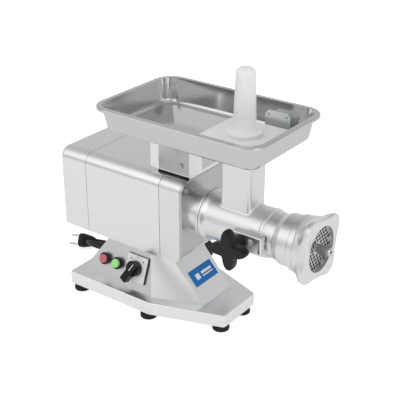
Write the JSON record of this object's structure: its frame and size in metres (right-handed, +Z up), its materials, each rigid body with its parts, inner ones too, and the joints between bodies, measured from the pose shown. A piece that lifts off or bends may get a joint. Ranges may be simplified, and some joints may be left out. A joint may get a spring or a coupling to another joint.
{
  "type": "electric meat grinder",
  "caption": "Bench-top electric meat grinder: steel motor housing on a flared base, side-clamped grinding head, feed tray with guard and pusher, geared motor.",
  "frame": {"origin": "on the ground under the middle of the machine's length and width", "axes": "+X along the drive shaft from the motor to the grinding head, +Z up, so that the control panel faces -Y"},
  "size_m": [0.5972, 0.3025, 0.459],
  "materials": {
    "stainless_sheet": "fine satin",
    "stainless_polished": "polished",
    "cast_case": "smooth machined",
    "cast_steel": "bead blasted",
    "tool_steel": "ground",
    "screw_steel": "machined",
    "motor_iron": "laminated",
    "black_plastic": "fine grain",
    "grey_plastic": "plain",
    "white_plastic": "slightly translucent",
    "red_plastic": "moulded",
    "green_plastic": "moulded",
    "blue_plate": "plain",
    "black_rubber": "matt",
    "plug_brass": "nickel plated"
  },
  "bodies": {
    "base": {"base_pan": "stainless_sheet", "bottom_cover": "stainless_sheet", "pedestal": "stainless_sheet", "housing_cover": "stainless_sheet", "rear_cap": "stainless_sheet", "cover_joint_band": "stainless_sheet", "tray_support": "stainless_sheet", "gear_case": "cast_case", "gear_case_rear_wall": "cast_case", "front_plate": "cast_case", "outlet_flange": "cast_case", "motor_frame": "cast_case", "motor_end_shields": "cast_case", "head_casting": "cast_steel", "output_bearings": "tool_steel", "countershaft_bearings": "tool_steel", "motor_bearings": "tool_steel", "foot_screws": "screw_steel", "front_plate_screws": "screw_steel", "support_screws": "screw_steel", "motor_stator": "motor_iron", "switch_base": "black_plastic", "stop_bezel": "black_plastic", "start_bezel": "black_plastic", "cord_gland": "black_plastic", "plug_body": "black_plastic", "coil_tie": "black_plastic", "motor_capacitor": "grey_plastic", "switch_face": "white_plastic", "blank_plaque": "blue_plate", "rubber_feet": "black_rubber", "support_pad": "black_rubber", "cord_lead": "black_rubber", "cord_tail": "black_rubber", "cord_coil": "black_rubber", "plug_pins": "plug_brass"},
    "stop_button": {"stop_button": "red_plastic"},
    "start_button": {"start_button": "green_plastic"},
    "switch_knob": {"switch_knob": "black_plastic"},
    "rotor": {"motor_rotor": "motor_iron", "motor_shaft": "tool_steel", "motor_pinion": "tool_steel", "motor_fan": "black_plastic"},
    "countershaft": {"countershaft": "tool_steel", "countershaft_gear": "tool_steel", "countershaft_pinion": "tool_steel"},
    "output": {"output_shaft": "tool_steel", "output_gear": "tool_steel", "auger": "tool_steel", "auger_pin": "tool_steel", "knife": "tool_steel"},
    "front": {"front_cylinder": "cast_steel", "hole_plate": "tool_steel"},
    "ring": {"ring_nut": "cast_steel"},
    "lock": {"lock_knob": "black_plastic", "lock_stud": "screw_steel"},
    "tray": {"tray": "stainless_polished", "guard_stop": "stainless_sheet"},
    "guard": {"feed_guard": "white_plastic"},
    "pusher": {"pusher": "white_plastic"}
  },
  "joints": [
    {"name": "output_spin", "type": "hinge", "parent": "base", "child": "output", "pos_m": [0.1, 0, 0.1945], "axis": [1, 0, 0], "continuous": true},
    {"name": "countershaft_spin", "type": "hinge", "parent": "base", "child": "countershaft", "pos_m": [-0.02, 0.01, 0.15191], "axis": [1, 0, 0], "continuous": true},
    {"name": "motor_spin", "type": "hinge", "parent": "base", "child": "rotor", "pos_m": [-0.1, 0.032, 0.18228], "axis": [1, 0, 0], "continuous": true},
    {"name": "front_cylinder_pull", "type": "slide", "parent": "base", "child": "front", "axis": [1, 0, 0], "range_m": [0, 0.06]},
    {"name": "ring_nut_turn", "type": "hinge", "parent": "front", "child": "ring", "pos_m": [0.22, 0, 0.1945], "axis": [1, 0, 0], "range_deg": [-720, 0]},
    {"name": "lock_knob_turn", "type": "hinge", "parent": "base", "child": "lock", "pos_m": [0.126, -0.06, 0.1905], "axis": [0, 1, 0], "range_deg": [-720, 0]},
    {"name": "switch_turn", "type": "hinge", "parent": "base", "child": "switch_knob", "pos_m": [-0.082, -0.05854, 0.07517], "axis": [0, -0.9335, 0.3585], "range_deg": [-45, 45]},
    {"name": "stop_press", "type": "slide", "parent": "base", "child": "stop_button", "axis": [0, 0.9335, -0.3585], "range_m": [0, 0.003], "stiffness_N_per_m": 400, "springref_m": -0.002},
    {"name": "start_press", "type": "slide", "parent": "base", "child": "start_button", "axis": [0, 0.9335, -0.3585], "range_m": [0, 0.003], "stiffness_N_per_m": 400, "springref_m": -0.002},
    {"name": "tray_lift", "type": "slide", "parent": "base", "child": "tray", "axis": [0, 0, 1], "range_m": [0, 0.08]},
    {"name": "guard_lift", "type": "slide", "parent": "tray", "child": "guard", "axis": [0, 0, 1], "range_m": [0, 0.05]},
    {"name": "pusher_lift", "type": "slide", "parent": "guard", "child": "pusher", "axis": [0, 0, 1], "range_m": [0, 0.12]}
  ],
  "couplings": [
    {"joint": "countershaft_spin", "follows": "output_spin", "ratio": -2.5714},
    {"joint": "motor_spin", "follows": "output_spin", "ratio": 8.449}
  ]
}
